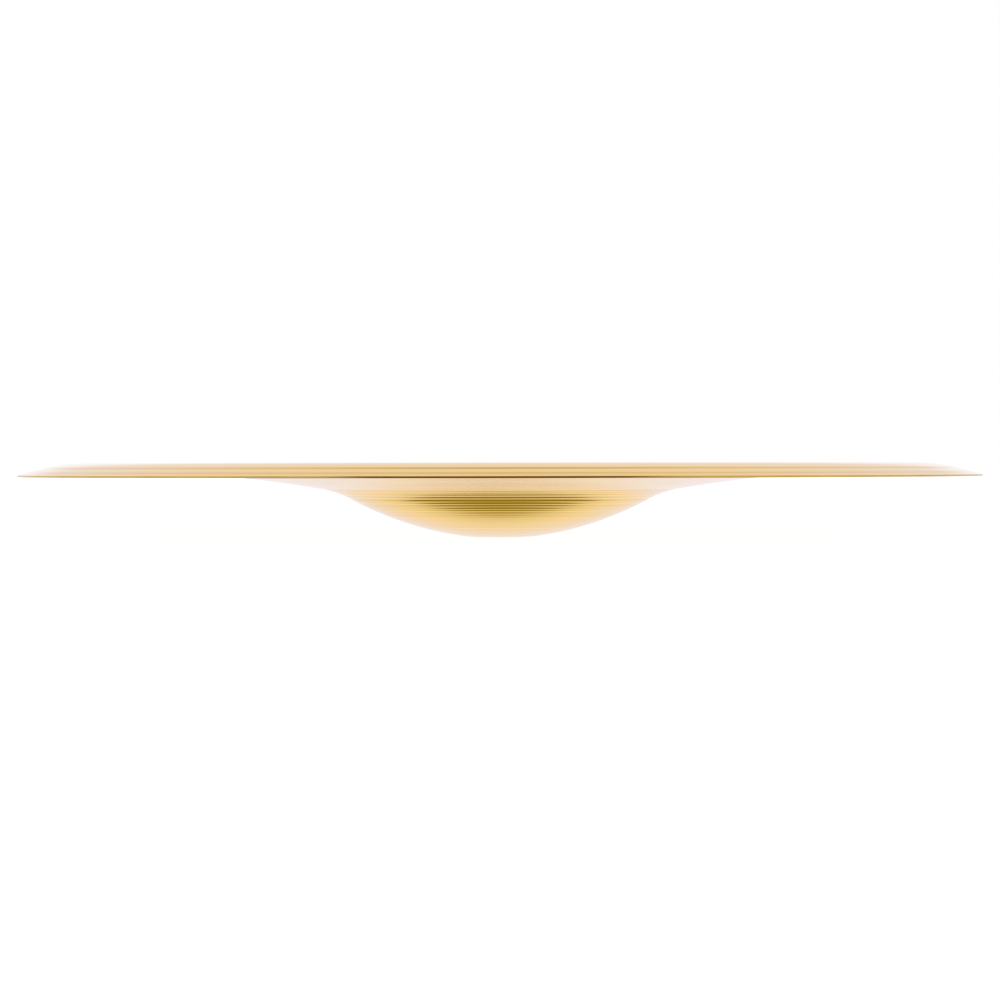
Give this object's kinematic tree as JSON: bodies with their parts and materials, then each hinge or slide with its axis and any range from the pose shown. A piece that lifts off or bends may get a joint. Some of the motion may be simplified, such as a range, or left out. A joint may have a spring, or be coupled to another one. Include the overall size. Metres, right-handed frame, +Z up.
{
  "type": "crash cymbal",
  "caption": "Thin round bronze crash cymbal lying bell down, with a low domed bell, a shallow bow, a turned-back rim flange and a plain centre hole.",
  "frame": {"origin": "centre of the stand hole on the bell's flat outer seat, which is the lowest plane of the part as it lies bell down", "axes": "+Z up along the cymbal's axis, towards its open side; X and Y lie across the disc, which looks the same from every side"},
  "size_m": [0.4064, 0.4064, 0.0315],
  "materials": {
    "bronze": "polished and lathed in fine rings"
  },
  "bodies": {
    "root": {"cymbal": "bronze"}
  },
  "joints": []
}
